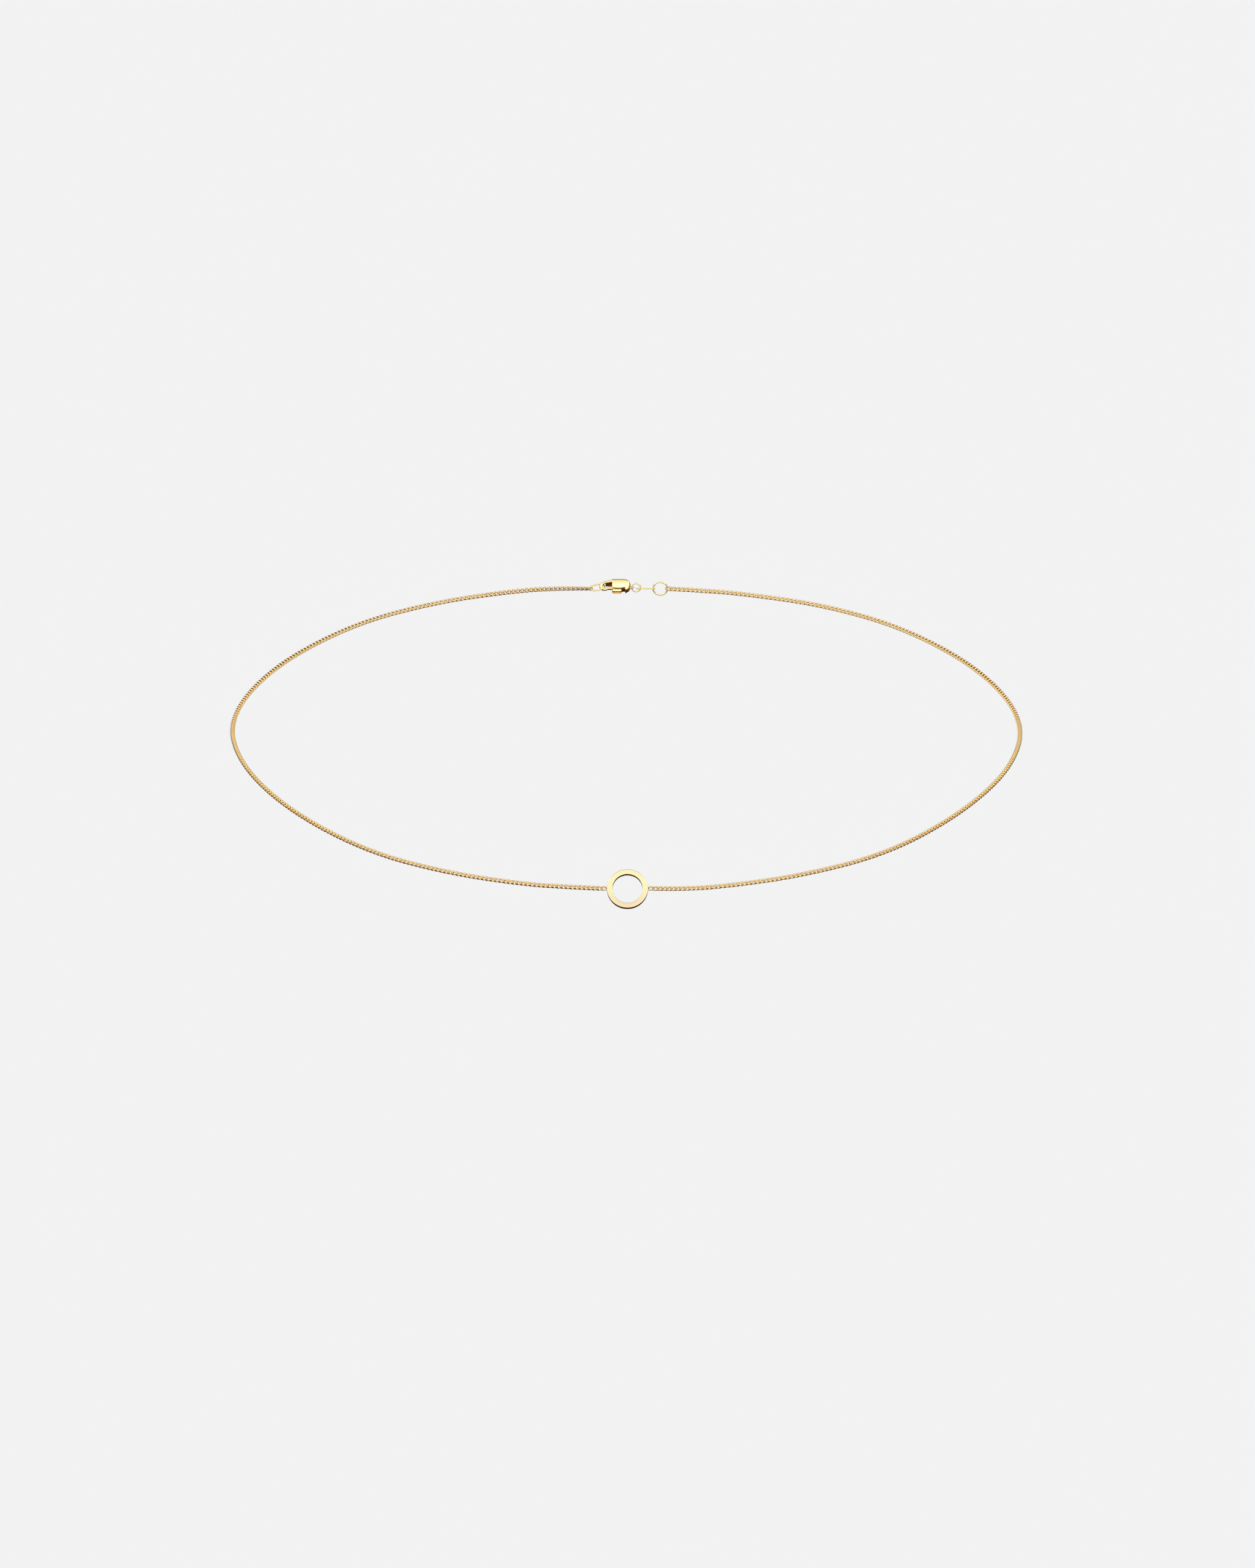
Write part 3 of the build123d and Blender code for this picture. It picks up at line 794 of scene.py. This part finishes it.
low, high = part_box("clasp_pin")
clasp_up = Vector((0, sin(CLASP_LEAN), cos(CLASP_LEAN)))
clasp_origin = (low + high) / 2 - (Vector((1, 0, 0)) * PIVOT_X + clasp_up * BODY_MIDDLE) * MM
clasp_place = plane_of(clasp_origin, Vector((1, 0, 0)), clasp_up)
print("clasp's tail lies at", in_mm(clasp_origin), "mm")

# %% Sections of the body
SHELL_PROUD = 0.004

def fallen(x, radius):
    """How far a quarter round that ends at the tail, x = 0, has fallen at x."""
    return radius - (max(0, radius**2 - max(0, x + radius) ** 2)) ** 0.5

def tail_row(x):
    """Full section of the body; its outline and its depth round off towards the tail."""
    reach = BODY_HALF - fallen(x, TAIL_ROUND)
    return (x, BODY_MIDDLE, reach, reach, BODY_DEPTH - fallen(x, DEPTH_ROUND))

def shell_row(x, bottom):
    """The same section, but only down to the trigger's room."""
    x, middle, up, _, depth = tail_row(x)
    return (x, middle, up + SHELL_PROUD, middle - bottom, depth + SHELL_PROUD)

# %% Upper shell and tail, with the trigger's slot
# where the shell's lower border runs, and where the tail has its sections
SHELL_BORDER = [
    (-3.45, 0.05), (-3.10, 0.00), (-2.60, -0.04), (-1.95, -0.04),
    (-1.50, 0.02), (-1.20, 0.12), (-0.90, 0.25),
]
TAIL_STEPS = [
    ROOM_BACK + 0.06, -0.90, -0.75, -0.60, -0.45, -0.32,
    -0.22, -0.14, -0.08, -0.04, -0.015, 0.0,
]
BELOW_BODY = -1.30
SLOT_FRONT = -3.70
SLOT_TOP = 1.03
SLOT_BACK = PIVOT_X + HUB_RADIUS + 0.06
WEB_ROOM_FRONT = -1.60
WEB_ROOM_BACK = ROOM_BACK + 0.35
HEEL_FLOOR = -0.66

shell_rows = [shell_row(x, bottom) for x, bottom in SHELL_BORDER]
shell = loft("clasp_shell", round_ends(shell_rows, 0.05, last=False), powers=(3.6, 7.0))
cut(shell, block("slot", SLOT_FRONT, SLOT_BACK, BELOW_BODY, SLOT_TOP, SLOT_HALF))
cut(shell, block("web_room", WEB_ROOM_FRONT, WEB_ROOM_BACK, BELOW_BODY, BODY_MIDDLE, SLOT_HALF))

tail_rows = [tail_row(x) for x in TAIL_STEPS]
tail = loft("clasp_tail", round_ends(tail_rows, 0.06, last=False), powers=(3.6, 3.2))
cut(tail, block("web_room", WEB_ROOM_FRONT, WEB_ROOM_BACK, HEEL_FLOOR, BODY_MIDDLE, SLOT_HALF))
print("shell and tail:", len(shell.data.polygons), "and", len(tail.data.polygons), "faces")

# %% The claw, from the body round to the trigger
# x and y of the middle, reach above and below it, and half the depth
CLAW = [
    (-2.95, 1.36, 0.27, 0.27, 0.46), (-3.60, 1.38, 0.27, 0.27, 0.46),
    (-4.35, 1.26, 0.23, 0.23, 0.42), (-5.00, 1.11, 0.20, 0.20, 0.40),
    (-5.40, 0.87, 0.26, 0.26, 0.43), (-5.58, 0.44, 0.32, 0.32, 0.45),
    (-5.50, 0.06, 0.30, 0.30, 0.45), (-5.22, -0.10, 0.29, 0.29, 0.43),
    (-4.90, -0.11, 0.28, 0.28, 0.41), (-4.54, -0.06, 0.30, 0.30, 0.38),
]
claw = loft("claw", round_ends(smooth_stations(CLAW), 0.04, first=False), powers=(3.2, 3.2))
print("claw", len(claw.data.polygons), "faces")

# %% The mouth's inner wall, in painted shade, and the ear
WALL_LEAN = radians(32)
WALL_PLACE = (0, 0.80, 0.02)
EAR_BEND = 0.335
EAR_WIRE = 0.17
EAR_PLACE = (0.22, 0.20, 0)
EAR_STRETCH = 1.6

wall = block("inner_wall", -4.79, -3.20, -0.44, 0.44, 0.05)
wall.data.transform(Matrix.Translation(WALL_PLACE) @ Matrix.Rotation(WALL_LEAN, 4, "X"))
change(wall, "BEVEL", width=0.04, segments=2)
bpy.ops.object.select_all(action="DESELECT")
bpy.ops.mesh.primitive_torus_add(
    major_segments=40, minor_segments=14, major_radius=EAR_BEND, minor_radius=EAR_WIRE / 2)
ear = bpy.context.object
stretch = Matrix.Diagonal((1, 1, EAR_STRETCH, 1))
ear.data.transform(Matrix.Translation(EAR_PLACE) @ Matrix.Rotation(radians(90), 4, "X") @ stretch)

outside = [finish_with(part, cast_gold) for part in (shell, tail, claw, ear)]
# the inner wall takes the painted-shade gold: a dark sheet where the mouth is in shade
body = join([*outside, finish_with(wall, painted_shade_gold)], "lobster_body")
lay(body, "clasp_body", "necklace", clasp_place)
dress(body)

# %% [markdown]
# ## Trigger
# The trigger is a lever in the body's slot. Its arm closes the mouth, its hub turns on the
# rivet, and the pad under the body is what a finger nail pulls. A lip along the pad's lower
# edge keeps the nail from slipping. Behind the pad, its web is seen in the room that it moves
# into. Hub and web lie inside the clasp, and their dark gold is painted shade.

# %% The lever: hub, web and arm
WEB_HALF = 0.35
WEB_TAPER = 0.3
BORE_RADIUS = 0.255
PIVOT = (PIVOT_X, BODY_MIDDLE, 0)
ARM = [
    (-4.40, 0.06, 0.31, 0.31, 0.33), (-3.60, 0.06, 0.32, 0.32, 0.34),
    (-2.80, 0.14, 0.34, 0.34, 0.34), (-1.90, 0.35, 0.36, 0.36, 0.34),
]

arm = loft("arm", round_ends(smooth_stations(ARM, steps=3), 0.04, last=False), powers=(2.4, 2.4))
bpy.ops.object.select_all(action="DESELECT")
bpy.ops.mesh.primitive_cylinder_add(
    vertices=40, radius=HUB_RADIUS, depth=2 * WEB_HALF, location=PIVOT)
hub = bpy.context.object
bpy.ops.object.transform_apply(location=True)
web = block("web", -2.30, -1.95, -0.70, 0.30, WEB_HALF)
web_tail = block("web_tail", -2.10, -1.03, -0.60, 0.10, WEB_HALF)
bpy.ops.object.mode_set(mode="EDIT")
pick(web_tail, lambda place: place.y < 0)
bpy.ops.transform.resize(value=(1, 1, WEB_TAPER))
bpy.ops.object.mode_set(mode="OBJECT")
change(web_tail, "BEVEL", width=0.06, segments=2)

# %% The bore for the rivet
# hub and web take the painted-shade gold
inside = [finish_with(part, painted_shade_gold) for part in (hub, web, web_tail)]
lever = join([*inside, finish_with(arm, cast_gold)], "lever")
bpy.ops.object.select_all(action="DESELECT")
bpy.ops.mesh.primitive_cylinder_add(vertices=40, radius=BORE_RADIUS, depth=3, location=PIVOT)
cut(lever, bpy.context.object)
print("lever", len(lever.data.polygons), "faces")

# %% Its pad, with a lip for the nail
PAD = [
    (-3.24, -0.44, 0.38, 0.42, 0.79), (-2.70, -0.44, 0.38, 0.42, 0.79),
    (-1.91, -0.44, 0.38, 0.42, 0.79),
]
LIP = [(-3.24, -0.79, 0.10, 0.10, 0.72), (-1.88, -0.79, 0.10, 0.10, 0.72)]

pad = loft("pad", round_ends(PAD, 0.25), powers=(6.0, 2.4))
lip = loft("lip", round_ends(LIP, 0.09), powers=(2.2, 2.2))
grip = [finish_with(part, cast_gold) for part in (pad, lip)]
trigger = join([lever, *grip], "lobster_trigger")
lay(trigger, "clasp_trigger", "trigger", clasp_place)
dress(trigger)
